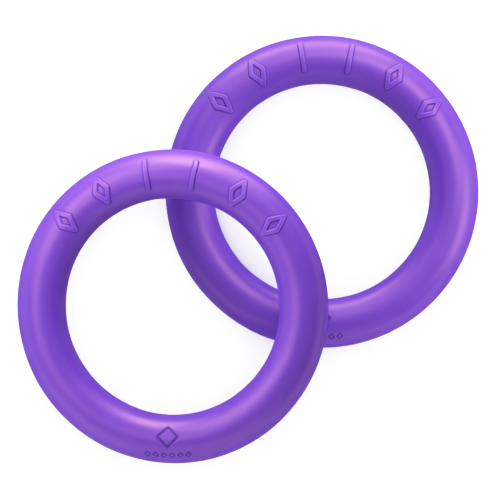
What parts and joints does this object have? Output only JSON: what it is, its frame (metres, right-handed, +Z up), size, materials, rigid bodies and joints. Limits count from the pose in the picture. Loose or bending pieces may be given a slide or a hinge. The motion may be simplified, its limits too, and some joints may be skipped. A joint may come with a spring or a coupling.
{
  "type": "foam pull rings",
  "caption": "Moulded foam pull rings with a thick round section, gripped in the hand for tugging and throwing, raised grip marks on the face; lying flat and leaning on each other.",
  "frame": {"origin": "the middle of the pair's footprint, on the floor", "axes": "+Z up from the floor along the flat ring's axis; +X across the pair's longer side, from the leaning ring towards the flat ring; +Y towards the raised grip marks of both rings"},
  "size_m": [0.4124, 0.3843, 0.096],
  "materials": {
    "foam": "satin closed-cell foam skin"
  },
  "bodies": {
    "flat_ring": {"flat_ring": "foam"},
    "leaning_ring": {"leaning_ring": "foam"}
  },
  "joints": [
    {"name": "leaning_ring_lift", "type": "slide", "parent": "flat_ring", "child": "leaning_ring", "axis": [0, 0, 1], "range_m": [0, 0.15]}
  ]
}
